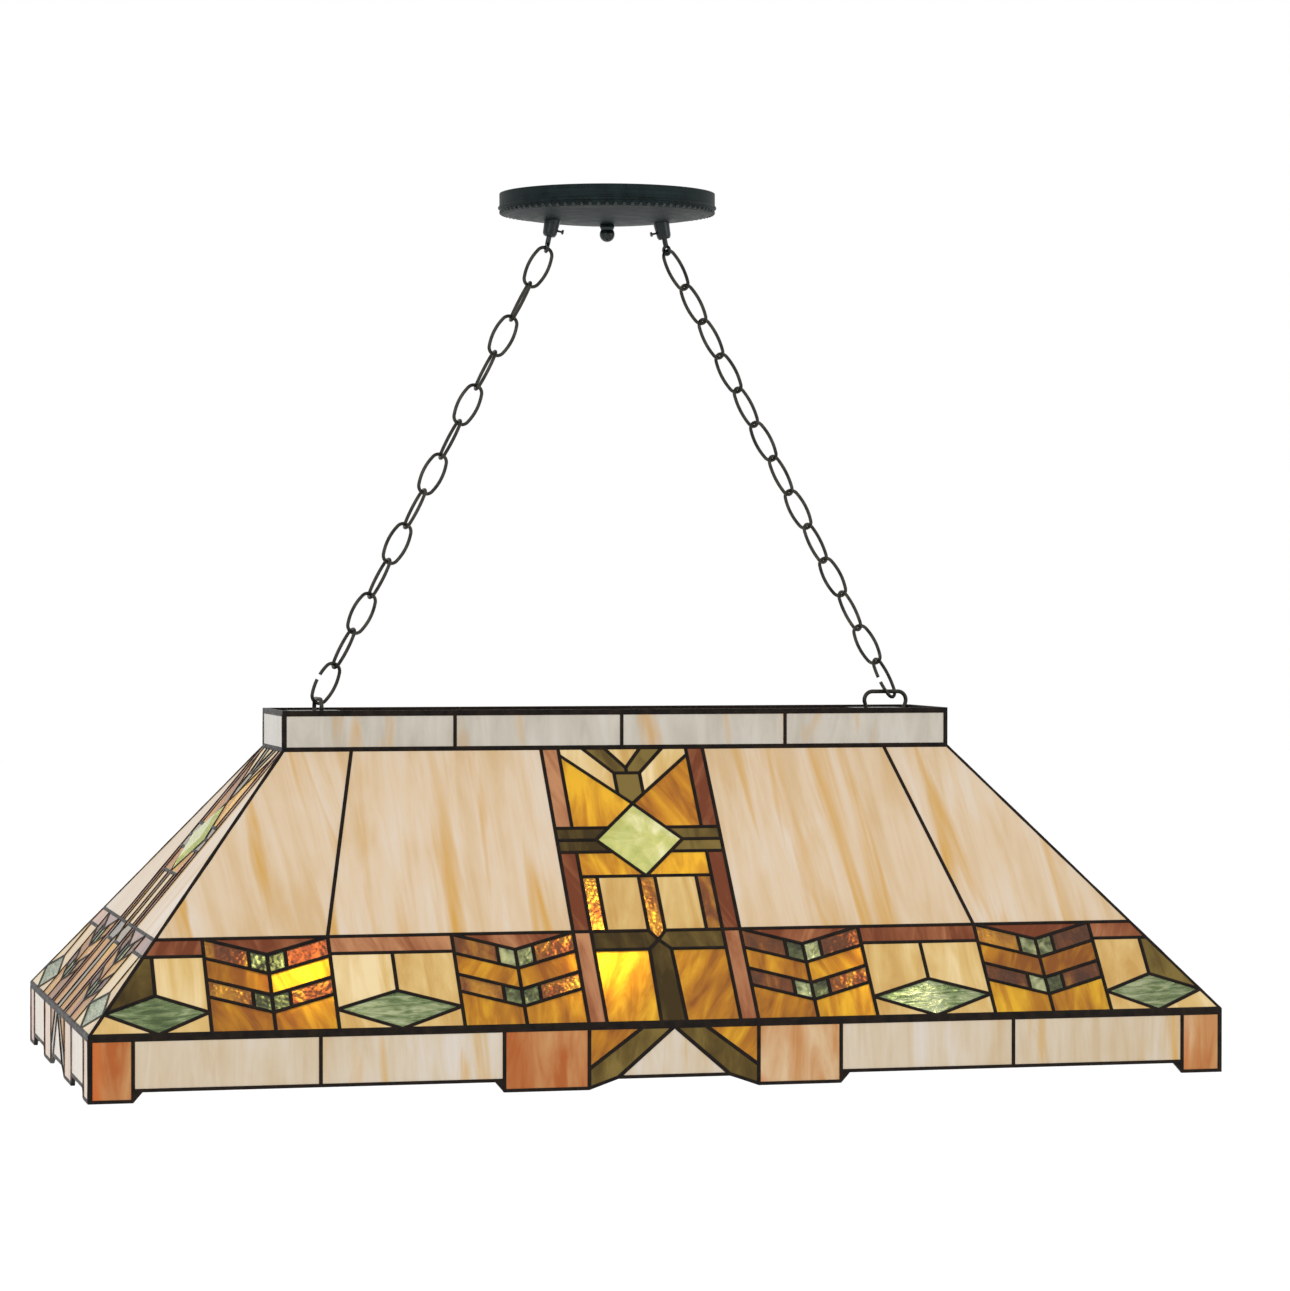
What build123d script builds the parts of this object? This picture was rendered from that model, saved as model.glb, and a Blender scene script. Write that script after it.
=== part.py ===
from build123d import *
from math import asin, atan2, cos, hypot, pi, radians, sin, sqrt
import os

# Pool table lamp: a long hipped shade of leaded glass hung on two chains from a round ceiling canopy.
# Origin: centre of the canopy's rim, on the ceiling. +Z up, +X along the shade, -Y to the front. Millimetres.

# ---- shade ----
shade_length = 1016.0        # 40 in, over the lead at the foot of the roof
shade_width = 508.0          # 20 in
roof_run = 195.0             # plan distance from the foot of the roof to the crown, the same on all sides
roof_rise = 232.0
crown_height = 35.0
skirt_deep = 57.0            # skirt at the corner and centre blocks
skirt_shallow = 48.0         # skirt at the plain panes
skirt_step = 8.0             # length of the slanted step between the two depths
lead_thick = 3.4             # lead and solder, through the sheet
glass_thick = 2.6
lead_line = 3.2              # width of a lead line between two panes
hip_border = 2.2             # lead along a hip, on each side of it
corner_border = 3.9          # lead along an upright corner of skirt or crown
foot_border = 2.2            # lead along the foot of the roof
skirt_top_border = 5.2       # came between roof and skirt
rim_border = 5.0             # came round the open top of the crown
edge_border = 3.0            # other outer borders
crown_foot_border = 2.2      # along the foot of the crown

# ---- pattern of the long sides and of the ends ----
column_half = 76.0           # half width of the centre column on a long side
strip_width = 16.0           # burgundy strip along each edge of that column
hammered_width = 14.5        # hammered strip beside it
end_strip_width = 14.0       # the same two on the ends, where the column is as wide as the crown
end_hammered_width = 13.0
column_centre_half = 7.5     # half width of the narrow centre strip
jewel_half = 40.0            # half width of the bevelled square
stem_half = 12.0             # half width of the stem above the jewel
stem_low_half = 11.5         # half width of the stem at the foot
band_height = 98.0           # height of the patterned band, up the slope
band_strip = 18.0            # strip along the top of the band
diamond_top = 40.0           # height of the diamond's upper point
diamond_tip = 22.0           # height of its side points
chevron_drop = 17.5          # how far a chevron falls from its sides to its middle
mint_half = 16.0             # half width of a pair of mint squares
tiles_per_half = 3.96        # band tiles between the column and the roof's lower corner
end_chevron_share = 0.405    # chevron's share of the same distance on an end
upper_joint_share = 0.8      # where the joint between the upper panes meets the crown
skirt_corner = 38.0          # corner block of the skirt
skirt_block = 75.0           # block beside the centre of a long side
end_skirt_block = 59.0

# ---- canopy and what is on it ----
canopy_radius = 100.0        # 8 in canopy
canopy_wall = 19.5
canopy_depth = 27.5
canopy_sheet = 1.0
canopy_round = 6.5           # radius between wall and dome
bead_radius = 1.3            # bead round the canopy where its wall begins to turn in
bar_length = 108.0           # crossbar on the ceiling's outlet box
bar_width = 20.0
bar_thick = 2.5
box_screw_spacing = 88.9     # 3-1/2 in between the outlet box's screws
box_slot_radius = 2.25
box_slot_length = 12.7
ground_x = 22.0              # ground screw's distance from the middle of the crossbar
ground_radius = 1.9
ground_head_radius = 3.6
ground_head = 2.2
nipple_radius = 4.9          # 1/8 IP lamp pipe
nipple_bore = 3.2
thread_gap = 0.05            # radial room left in a threaded hole
nut_flats = 15.0
nut_thick = 3.5
finial_length = 16.5
finial_wall = 2.1            # of its ball round the lamp pipe
finial_waist_wall = 0.7      # and of its waist
nipple_engage = 9.0          # lamp pipe inside the finial

# ---- swivels and chains ----
eye_x = 57.4                 # where the first link hangs, from the centre
eye_drop = 52.7              # below the ceiling
swivel_tilt = 12.0           # outward tilt of cup and stem, degrees
swivel_length = 17.4         # centre of the ball to the link's seat
ball_radius = 5.0
ball_gap = 0.1
stem_radius = 2.4
cup_top_radius = 8.0
cup_low_radius = 6.5
cup_mouth_radius = 4.3
cup_below_ball = 4.6
eye_bar_radius = 1.6
eye_room = 0.5               # between the eye's hole and the first link's wire
cup_shank = 12.0             # threaded shank of a cup, up from the dome
cup_shank_bore = 2.4
clamp_radius = 1.0
clamp_head_radius = 2.2
clamp_height = 2.0           # of the clamp screw above the ball's centre
clamp_tip = 5.5              # its tip's distance from the cup's axis
clamp_reach = 12.3           # its head's outer face from that axis
link_wire = 3.2
link_pitch = 36.0
link_width = 22.0            # outside
link_end_radius = 7.5        # of the wire's centre line round an end
link_count = 13              # the last one is opened to hook on the ring
link_gap = 0.2               # room between a link and what it hangs on
open_gap = 5.0               # opening in the last link
left_twist = 13.0            # the left chain's twist from top to bottom, degrees
right_roll = 30.0            # angle of the right chain's first link to the lamp's long plane
right_twist = 15.0           # the right chain's twist from top to bottom
left_catch = 272.0           # distance from the centre at which the left chain meets its ring
right_catch = 278.0
ring_wire = 3.8
ring_half = 20.4             # half width of a ring, to the wire's centre
ring_shoulder = 8.0
ring_slope = 15.0            # how far the legs lean in, degrees
ring_x = 270.5               # distance of the right ring's centre from the lamp's centre

# ---- inside the crown ----
strap_thick = 2.0
hanger_strap_width = 48.0
hanger_strap_below_rim = 2.0
lamp_strap_width = 40.0
lamp_strap_lift = 2.0        # above the foot of the crown
lamp_x = 285.0               # outer lamps' distance from the middle one
holder_radius = 19.0
holder_length = 56.0
holder_drop = 88.0           # below its strap, on a length of lamp pipe
bulb_cap_radius = 13.1       # E26
bulb_cap_length = 25.0
bulb_radius = 30.0           # A19
bulb_neck = 42.0             # neck's length below the cap
bulb_glass = 0.8

# ---- heights that follow ----
slope_length = hypot(roof_run, roof_rise)
half_length = shade_length / 2
half_width = shade_width / 2
crown_half_length = half_length - roof_run
crown_half_width = half_width - roof_run
chain_length = link_count * link_pitch
left_lean = asin((left_catch - eye_x) / chain_length)
right_lean = asin((right_catch - eye_x) / chain_length)
left_catch_z = -eye_drop - chain_length * cos(left_lean)
right_catch_z = -eye_drop - chain_length * cos(right_lean)
rim_below_catch = 9.0        # the crown's rim is this far below the mean height of the two catches
crown_top_z = (left_catch_z + right_catch_z) / 2 - rim_below_catch
crown_foot_z = crown_top_z - crown_height
roof_foot_z = crown_foot_z - roof_rise
skirt_low_z = roof_foot_z - skirt_deep
crown_inner = crown_half_width - lead_thick
eye_hole_radius = link_wire / 2 + eye_room
Y = Vector(0, 1, 0)
LOW = (Align.CENTER, Align.CENTER, Align.MIN)      # a solid standing on its own origin
HIGH = (Align.CENTER, Align.CENTER, Align.MAX)     # a solid hanging from it


# ---- leaded glass ----
def inset(points, distance):
    """Moves every edge of a flat outline inwards by the same distance."""
    area = sum(a[0] * b[1] - b[0] * a[1] for a, b in zip(points, points[1:] + points[:1]))
    if area < 0:
        points = points[::-1]
    lines = []
    for a, b in zip(points, points[1:] + points[:1]):
        length = hypot(b[0] - a[0], b[1] - a[1])
        nx, ny = -(b[1] - a[1]) / length, (b[0] - a[0]) / length
        lines.append((nx, ny, nx * a[0] + ny * a[1] + distance))
    corners = []
    for (a1, b1, c1), (a2, b2, c2) in zip(lines[-1:] + lines[:-1], lines):
        det = a1 * b2 - a2 * b1
        corners.append(((c1 * b2 - c2 * b1) / det, (a1 * c2 - a2 * c1) / det))
    return corners


def mirrored(cells):
    """The given panes and the same ones on the other side of the middle."""
    return cells + [(glass, [(-u, v) for u, v in points]) for glass, points in cells]


def column(half, strip, hammered, top):
    """The centre column, from the foot of the roof to the crown."""
    upper = top - band_height
    inner = half - strip
    cream = inner - hammered
    jewel_mid = band_height + 0.490 * upper
    jewel_top = band_height + 0.688 * upper
    jewel_low = 2 * jewel_mid - jewel_top
    band_half = 0.066 * upper
    band_up, band_low = jewel_mid + band_half, jewel_mid - band_half
    edge = jewel_half * (1 - band_half / (jewel_top - jewel_mid))
    line_top = band_height + 0.961 * upper
    line_stem = jewel_top + (line_top - jewel_top) * stem_half / inner
    fork = band_height + 0.859 * upper
    notch = band_height + 0.888 * upper
    arm_out, arm_in = 0.633 * inner, 0.283 * inner
    low = band_height - 20
    point = band_height - 10
    foot = foot_border - lead_line / 2
    middle = [
        ("tan", [(-arm_in, top), (0, notch), (arm_in, top)]),
        ("olive", [(-stem_half, fork), (-stem_half, line_stem), (0, jewel_top), (stem_half, line_stem),
                   (stem_half, fork)]),
        ("jewel", [(0, jewel_low), (jewel_half, jewel_mid), (0, jewel_top), (-jewel_half, jewel_mid)]),
        ("copper", [(-column_centre_half, jewel_low), (-column_centre_half, band_height), (0, point),
                    (column_centre_half, band_height), (column_centre_half, jewel_low)]),
        ("olive", [(0, point), (-10, low), (-stem_low_half, foot), (stem_low_half, foot), (10, low)]),
    ]
    side = [
        ("burgundy", [(inner, band_up), (half, band_up), (half, top), (inner, top)]),
        ("amber", [(edge, band_up), (inner, band_up), (inner, line_top), (0, jewel_top)]),
        ("tan", [(stem_half, line_stem), (inner, line_top), (inner, top), (arm_out, top), (stem_half, fork)]),
        ("olive", [(0, fork), (stem_half, fork), (arm_out, top), (arm_in, top), (0, notch)]),
        ("olive", [(edge, band_up), (jewel_half, jewel_mid), (half, jewel_mid), (half, band_up)]),
        ("olive", [(jewel_half, jewel_mid), (edge, band_low), (half, band_low), (half, jewel_mid)]),
        ("amber", [(0, jewel_low), (inner, jewel_low), (inner, band_low), (edge, band_low)]),
        ("burgundy", [(inner, band_height), (half, band_height), (half, band_low), (inner, band_low)]),
        ("copper", [(cream, band_height), (inner, band_height), (inner, jewel_low), (cream, jewel_low)]),
        ("tan", [(column_centre_half, band_height), (cream, band_height), (cream, jewel_low),
                 (column_centre_half, jewel_low)]),
        ("burgundy", [(inner, foot), (half, foot), (half, band_height), (inner, band_height)]),
        ("olive", [(column_centre_half, band_height), (0, point), (10, low), (inner, low),
                   (inner, band_height)]),
        ("amber", [(stem_low_half, foot), (inner, foot), (inner, low), (10, low)]),
    ]
    return middle + mirrored(side)


def chevron(u0, u1):
    """A band tile of stacked chevrons with two pairs of mint squares."""
    mid = (u0 + u1) / 2
    levels = [band_height, 0.796 * band_height, 0.571 * band_height, 0.388 * band_height]
    foot = foot_border - lead_line / 2

    def fall(level, u):
        return level - chevron_drop * (1 - abs(u - mid) / (mid - u0))

    cells = [("burgundy", [(u0, band_height), (mid, band_height - chevron_drop), (u1, band_height)])]
    for row, (high, low) in enumerate(zip(levels, levels[1:])):
        stops = [u0, mid, u1] if row == 1 else [u0, mid - mint_half, mid, mid + mint_half, u1]
        kinds = ["amber"] * 2 if row == 1 else ["copper", "mint", "mint", "copper"]
        for kind, a, b in zip(kinds, stops, stops[1:]):
            cells.append((kind, [(a, fall(low, a)), (b, fall(low, b)),
                                 (b, fall(high, b)), (a, fall(high, a))]))
    for a, b in ((u0, mid), (mid, u1)):
        cells.append(("amber", [(a, foot), (b, foot), (b, fall(levels[3], b)), (a, fall(levels[3], a))]))
    return cells


def diamond(u0, tip, strip_end, top_end, foot_end, outer_glass):
    """A band tile with a diamond. Its outer edge may follow a hip: tip, strip_end, top_end and foot_end
    are that edge's places at the diamond's tip, under the strip, at the band's top and at the foot."""
    mid = (u0 + tip) / 2
    under = band_height - band_strip
    foot = foot_border - lead_line / 2
    return [
        ("burgundy", [(u0, under), (strip_end, under), (top_end, band_height), (u0, band_height)]),
        ("tan", [(u0, diamond_tip), (mid, diamond_top), (mid, under), (u0, under)]),
        (outer_glass, [(mid, diamond_top), (tip, diamond_tip), (strip_end, under), (mid, under)]),
        ("green", [(u0, diamond_tip), (mid, foot), (tip, diamond_tip), (mid, diamond_top)]),
        ("tan", [(u0, foot), (mid, foot), (u0, diamond_tip)]),
        ("tan", [(mid, foot), (foot_end, foot), (tip, diamond_tip)]),
    ]


def roof_cells(half, top_half, long_side):
    """All panes of one side of the roof, as outlines across (u) and up (v) the slope."""
    top = slope_length - 0.5
    margin = (hip_border - lead_line / 2) * hypot(1, roof_run / slope_length)
    foot = foot_border - lead_line / 2

    def hip(v):
        return half - roof_run * v / slope_length - margin

    if long_side:
        tile = (half - column_half) / tiles_per_half
        edges = [column_half + tile * i for i in range(4)]
        joint = upper_joint_share * top_half
        side = chevron(edges[0], edges[1])
        side += diamond(edges[1], edges[2], edges[2], edges[2], edges[2], "tan")
        side += chevron(edges[2], edges[3])
        side += diamond(edges[3], hip(diamond_tip), hip(band_height - band_strip), hip(band_height), hip(foot),
                        "olive")
        side += [
            ("cream", [(column_half, band_height), (edges[2], band_height), (joint, top), (column_half, top)]),
            ("cream", [(edges[2], band_height), (hip(band_height), band_height), (hip(top), top), (joint, top)]),
        ]
        return column(column_half, strip_width, hammered_width, top) + mirrored(side)
    column_edge = hip(top)
    chevron_edge = column_edge + (half - column_edge) * end_chevron_share
    side = chevron(column_edge, chevron_edge)
    side += diamond(chevron_edge, hip(diamond_tip), hip(band_height - band_strip), hip(band_height), hip(foot),
                    "tan")
    side += [("cream", [(column_edge, band_height), (hip(band_height), band_height), (column_edge, top)])]
    return column(column_edge, end_strip_width, end_hammered_width, top) + mirrored(side)


def skirt_cells(half, centre, block, joints):
    """Panes of one side of the skirt; v is measured down from the foot of the roof."""
    top = -(skirt_top_border - lead_line / 2)
    lift = edge_border - lead_line / 2
    deep, shallow = -skirt_deep + lift, -skirt_shallow + lift
    corner = half - skirt_corner
    outer = half - (corner_border - lead_line / 2)
    block_end = centre + block
    arm = 0.66 * centre
    side = [
        ("caramel", [(corner, deep), (outer, deep), (outer, top), (corner, top)]),
        ("caramel", [(centre, deep), (block_end, deep), (block_end, top), (centre, top)]),
        ("amber", [(centre, top), (centre, -0.68 * skirt_deep), (0.37 * centre, top)]),
        ("olive", [(0, top), (0.37 * centre, top), (centre, -0.68 * skirt_deep), (centre, deep), (arm, shallow)]),
    ]
    stops = [block_end + (corner - block_end) * i / joints for i in range(joints + 1)]
    for a, b in zip(stops, stops[1:]):
        side.append(("skirt", [(a, shallow), (b, shallow), (b, top), (a, top)]))
    return [("skirt", [(0, top), (-arm, shallow), (arm, shallow)])] + mirrored(side)


def skirt_outline(half, centre, block):
    """Stepped lower edge of the skirt: deep at the blocks, shallow between them."""
    corner = half - skirt_corner
    block_end = centre + block
    arm = 0.66 * centre
    right = [(arm, -skirt_shallow), (centre, -skirt_deep), (block_end, -skirt_deep),
             (block_end + skirt_step, -skirt_shallow), (corner - skirt_step, -skirt_shallow),
             (corner, -skirt_deep), (half, -skirt_deep), (half, 0)]
    return [(-u, v) for u, v in right[::-1]] + right


def crown_cells(half, panes):
    """Upright panes of the crown; v is measured up from its foot."""
    outer = half - (corner_border - lead_line / 2)
    low = crown_foot_border - lead_line / 2
    high = crown_height - rim_border + lead_line / 2
    stops = [-outer + 2 * outer * i / panes for i in range(panes + 1)]
    return [("crown", [(a, low), (b, low), (b, high), (a, high)]) for a, b in zip(stops, stops[1:])]


def flat_wire(plane, points):
    return Wire.make_polygon([plane.from_local_coords(Vector(u, v, 0)) for u, v in points], close=True)


def sector(half, out, low_z, high_z):
    """The space in front of one side, between the two upright planes that mitre it to its neighbours."""
    reach = 0.9 * half_width
    base = Wire.make_polygon([(-half, -out, low_z), (half, -out, low_z), (half - reach, reach - out, low_z),
                              (reach - half, reach - out, low_z)], close=True)
    return extrude(Face(base), amount=high_z - low_z, dir=(0, 0, 1))


def leaded_side(plane, outline, cells, bounds):
    """Lead lattice of one flat side and its panes. Both keep to the side's own sector."""
    holes = [(glass, inset(points, lead_line / 2)) for glass, points in cells]
    inward = -plane.z_dir
    sheet = Face(flat_wire(plane, outline), [flat_wire(plane, points) for _, points in holes])
    lattice = extrude(sheet, amount=lead_thick, dir=inward) & bounds
    recess = Plane(origin=plane.origin + inward * (lead_thick - glass_thick) / 2, x_dir=plane.x_dir,
                   z_dir=plane.z_dir)
    panes = [(glass, extrude(Face(flat_wire(recess, points)), amount=glass_thick, dir=inward))
             for glass, points in holes]
    return lattice, panes


def side_plane(distance, z, run, rise):
    return Plane(origin=(0, -distance, z), x_dir=(1, 0, 0), z_dir=(0, -rise, run))


def shade_sides():
    """Every leaded side: name, lattice and panes."""
    spare = 5
    sides = []
    layouts = {
        "long": (half_length, half_width, crown_half_length, crown_half_width, column_half, skirt_block, 2, 4),
        "end": (half_width, half_length, crown_half_width, crown_half_length, crown_half_width,
                end_skirt_block, 1, 1),
    }
    for kind, (half, out, top_half, top_out, centre, block, joints, panes) in layouts.items():
        slope = spare * slope_length / roof_rise
        wide, narrow = half + spare + slope * roof_run / slope_length, top_half + spare
        roof = leaded_side(
            side_plane(out, roof_foot_z, roof_run, roof_rise),
            [(-wide, -slope), (wide, -slope), (narrow, slope_length + slope), (-narrow, slope_length + slope)],
            roof_cells(half, top_half, kind == "long"), sector(half, out, roof_foot_z, crown_foot_z))
        skirt = leaded_side(
            side_plane(out, roof_foot_z, 0, 1), skirt_outline(half, centre, block),
            skirt_cells(half, centre, block, joints), sector(half, out, skirt_low_z, roof_foot_z))
        crown = leaded_side(
            side_plane(top_out, crown_foot_z, 0, 1),
            [(-top_half, 0), (top_half, 0), (top_half, crown_height), (-top_half, crown_height)],
            crown_cells(top_half, panes), sector(half, out, crown_foot_z, crown_top_z))
        places = (("front", 0), ("back", 180)) if kind == "long" else (("right", 90), ("left", 270))
        for part_name, (lattice, cells) in (("roof", roof), ("skirt", skirt), ("crown", crown)):
            for place, turn in places:
                turned = [(glass, pane.rotate(Axis.Z, turn)) for glass, pane in cells]
                sides.append((f"{part_name}_{place}_lead", lattice.rotate(Axis.Z, turn), turned))
    return sides


# ---- canopy ----
dome_sag = canopy_depth - canopy_wall
dome_rim = canopy_radius - canopy_round
dome_radius = (dome_rim ** 2 + dome_sag ** 2) / (2 * dome_sag)
dome_centre_z = -canopy_depth + dome_radius


def turned(*edges):
    """A closed half profile in the XZ plane, spun about the Z axis."""
    return revolve(Face(Wire(Curve() + list(edges))), axis=Axis.Z)


def dome_point(radius, angle_share):
    """A point on a sphere about the dome's centre, at a share of the rim's angle."""
    angle = asin(dome_rim / dome_radius) * angle_share
    return (radius * sin(angle), 0, dome_centre_z - radius * cos(angle))


def seat(side):
    """Plane square to the dome where a swivel cup's axis meets it; its z axis points up into the canopy."""
    tilt = radians(swivel_tilt)
    ball = ball_centre(side)
    down = Vector(side * sin(tilt), 0, -cos(tilt))
    centre = Vector(0, 0, dome_centre_z)
    along = (centre - ball).dot(down)
    foot = ball + down * along
    reach = sqrt(dome_radius ** 2 - (foot - centre).length ** 2)
    point = foot + down * reach
    return Plane(origin=point, x_dir=(0, 1, 0), z_dir=centre - point)


def swivel_up(side):
    """Unit vector up along a swivel's axis."""
    tilt = radians(swivel_tilt)
    return Vector(-side * sin(tilt), 0, cos(tilt))


def eye_axis(side):
    """Axis of the eye's hole, as near as it can be to the way the first link's wire runs."""
    up = swivel_up(side)
    wire = link_width_direction(side, 1)
    return (wire - up * wire.dot(up)).normalized()


def eye_centre(side):
    """Centre of the eye, whose bar takes the first link's pull along the chain."""
    down, _ = chain_axis(side)
    hole = eye_axis(side)
    reach = (down - hole * down.dot(hole)).normalized()
    return first_seat(side) + down * eye_bar_radius - reach * (eye_hole_radius + eye_bar_radius)


def ball_centre(side):
    ball = eye_centre(side) + swivel_up(side) * (swivel_length - eye_hole_radius)
    return Vector(ball.X, 0, ball.Z)


def swivel_plane(side):
    """Origin at the ball's centre, z axis up along the cup."""
    tilt = radians(swivel_tilt)
    across = (cos(tilt), 0, side * sin(tilt))
    return Plane(origin=ball_centre(side), x_dir=across, z_dir=swivel_up(side))


def make_canopy():
    outer, inner = dome_radius, dome_radius - canopy_sheet
    rim_out, rim_in = canopy_radius, canopy_radius - canopy_sheet
    side = -canopy_wall + canopy_round
    corner = (dome_rim, 0, side)
    end_out = dome_point(outer, 1)
    end_in = dome_point(inner, 1)
    round_mid = (dome_rim + canopy_round * sin(radians(48)), 0, side - canopy_round * cos(radians(48)))
    small = canopy_round - canopy_sheet
    small_mid = (corner[0] + small * sin(radians(48)), 0, side - small * cos(radians(48)))
    shell = turned(
        Line((rim_in, 0, 0), (rim_out, 0, 0)),
        Line((rim_out, 0, 0), (rim_out, 0, side)),
        ThreePointArc((rim_out, 0, side), round_mid, end_out),
        ThreePointArc(end_out, dome_point(outer, 0.5), dome_point(outer, 0)),
        Line(dome_point(outer, 0), dome_point(inner, 0)),
        ThreePointArc(dome_point(inner, 0), dome_point(inner, 0.5), end_in),
        ThreePointArc(end_in, small_mid, (rim_in, 0, side)),
        Line((rim_in, 0, side), (rim_in, 0, 0)))
    bead = Solid.make_torus(canopy_radius, bead_radius, Plane((0, 0, -canopy_wall + canopy_round)))
    shell = shell + bead
    hole = nipple_radius + 3 * thread_gap
    shell -= Cylinder(hole, 3 * canopy_depth)
    for side in (-1, 1):
        shell -= seat(side).location * Cylinder(hole, 20)
    return shell


def make_crossbar():
    bar = Pos(0, 0, -bar_thick / 2) * Box(bar_length, bar_width, bar_thick)
    bar -= Cylinder(nipple_radius + thread_gap, 4 * bar_thick)
    slot = SlotOverall(box_slot_length, 2 * box_slot_radius)
    for side in (-1, 1):
        bar -= Pos(side * box_screw_spacing / 2, 0, -2 * bar_thick) * extrude(slot, 3 * bar_thick)
    return bar - Pos(ground_x, 0, 0) * Cylinder(ground_radius + thread_gap, 4 * bar_thick)


def make_ground_screw():
    under = Pos(ground_x, 0, -bar_thick - thread_gap)
    shank = under * Cylinder(ground_radius, bar_thick, align=LOW)
    head = under * Cylinder(ground_head_radius, ground_head, align=HIGH)
    slot = under * Pos(0, 0, -ground_head) * Box(2.5 * ground_head_radius, 0.9, 1.6)
    return shank + head - slot


def tube(radius, bore, low, high):
    body = Pos(0, 0, low) * Cylinder(radius, high - low, align=LOW)
    return body - Cylinder(bore, 4 * max(abs(low), abs(high)) + 10)


def hex_nut(bore, low):
    nut = extrude(Plane((0, 0, low)) * RegularPolygon(nut_flats / 2, 6, major_radius=False), nut_thick)
    return nut - Pos(0, 0, low) * Cylinder(bore, 3 * nut_thick)


def make_finial():
    """Turned knob: a ring under the dome, a waist, then a ball; bored from above for the lamp pipe."""
    top = -canopy_depth - 0.1
    ring = 0.36 * finial_length
    bore = nipple_radius + 2 * thread_gap
    finial_radius = nipple_radius + finial_wall
    ball_z = top - finial_length + finial_radius
    waist = bore + finial_waist_wall
    waist_z = ball_z + sqrt(finial_radius ** 2 - waist ** 2)
    knob = turned(
        Line((0, 0, top), (0.9 * finial_radius, 0, top)),
        Line((0.9 * finial_radius, 0, top), (0.96 * finial_radius, 0, top - ring / 2)),
        Line((0.96 * finial_radius, 0, top - ring / 2), (waist, 0, waist_z)),
        ThreePointArc((waist, 0, waist_z), (finial_radius, 0, ball_z), (0, 0, ball_z - finial_radius)),
        Line((0, 0, ball_z - finial_radius), (0, 0, top)))
    return knob - Pos(0, 0, top + 1) * Cylinder(bore, nipple_engage + 1.5, align=HIGH)


# ---- swivels ----
def make_cup(side):
    """Socket that holds the ball, cut square under the dome, with a hollow threaded shank through the canopy."""
    room = ball_radius + ball_gap
    lip = 3.2
    lip_radius = sqrt(room ** 2 - lip ** 2)
    top = 17.0
    body = turned(
        Line((0, 0, top), (cup_top_radius, 0, top)),
        Line((cup_top_radius, 0, top), (cup_low_radius, 0, -0.5 * cup_below_ball)),
        Line((cup_low_radius, 0, -0.5 * cup_below_ball), (cup_mouth_radius + 0.9, 0, -cup_below_ball)),
        Line((cup_mouth_radius + 0.9, 0, -cup_below_ball), (cup_mouth_radius, 0, -cup_below_ball)),
        Line((cup_mouth_radius, 0, -cup_below_ball), (lip_radius, 0, -lip)),
        ThreePointArc((lip_radius, 0, -lip), (room * cos(0.3), 0, -room * sin(0.3)), (room, 0, 0)),
        Line((room, 0, 0), (room, 0, room + 1.5)),
        Line((room, 0, room + 1.5), (0, 0, room + 1.5)),
        Line((0, 0, room + 1.5), (0, 0, top)))
    clamp_hole = Plane.YZ.location * Cylinder(clamp_radius + thread_gap, 2 * cup_top_radius, align=LOW)
    body -= Pos(0, 0, clamp_height) * Rot(0, 0, 0 if side < 0 else 180) * clamp_hole
    body = swivel_plane(side).location * body
    stand = seat(side).location
    body -= stand * Box(6 * cup_top_radius, 6 * cup_top_radius, 2 * top, align=LOW)
    body += stand * Pos(0, 0, -2) * Cylinder(nipple_radius, cup_shank + 2, align=LOW)
    return body - stand * Cylinder(cup_shank_bore, 60)


def make_swivel_nut(side):
    rest = canopy_sheet + 0.15
    return seat(side).location * hex_nut(nipple_radius + thread_gap, rest)


def make_clamp_screw(side):
    length = clamp_reach - clamp_tip
    screw = Cylinder(clamp_radius, length, align=LOW)
    screw += Pos(0, 0, length - 1.5) * Cylinder(clamp_head_radius, 1.5, align=LOW)
    turn = Rot(0, 0, 0 if side < 0 else 180)
    place = swivel_plane(side).location * Pos(0, 0, clamp_height) * turn * Pos(clamp_tip, 0, 0)
    return place * Plane.YZ.location * screw


# ---- chains ----
def chain_axis(side):
    """Unit vector down the chain, and the unit vector square to it in the lamp's long plane."""
    lean = left_lean if side < 0 else right_lean
    return Vector(side * sin(lean), 0, -cos(lean)), Vector(cos(lean), 0, side * sin(lean))


def first_seat(side):
    return Vector(side * eye_x, 0, -eye_drop)


def link_roll(side, number):
    """Roll of a link about the chain, in radians, counted from the lamp's long plane."""
    quarter = (number - 1) * pi / 2
    share = (number - 1) / (link_count - 1)
    if side < 0:
        return quarter + radians(left_twist) * share
    return quarter + radians(right_roll + right_twist * share)


def link_width_direction(side, number):
    down, across = chain_axis(side)
    roll = link_roll(side, number)
    return across * cos(roll) + Y * sin(roll)


def make_link():
    """Oval link in the XZ plane: two tight end arcs and two long side arcs, all tangent."""
    long_half = (link_pitch + link_wire + link_gap) / 2
    wide_half = (link_width - link_wire) / 2
    end = link_end_radius
    side = ((long_half - end) ** 2 / (wide_half - end) + end + wide_half) / 2
    angle = atan2(long_half - end, side - wide_half)
    join_x = (wide_half - side) + side * cos(angle)
    join_z = side * sin(angle)
    path = Wire(Curve() + [
        ThreePointArc((join_x, 0, join_z), (0, 0, long_half), (-join_x, 0, join_z)),
        ThreePointArc((-join_x, 0, join_z), (-wide_half, 0, 0), (-join_x, 0, -join_z)),
        ThreePointArc((-join_x, 0, -join_z), (0, 0, -long_half), (join_x, 0, -join_z)),
        ThreePointArc((join_x, 0, -join_z), (wide_half, 0, 0), (join_x, 0, join_z))])
    start = Plane(origin=(join_x, 0, join_z), z_dir=(-sin(angle), 0, cos(angle)))
    return sweep(start * Circle(link_wire / 2), path=path)


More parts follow.
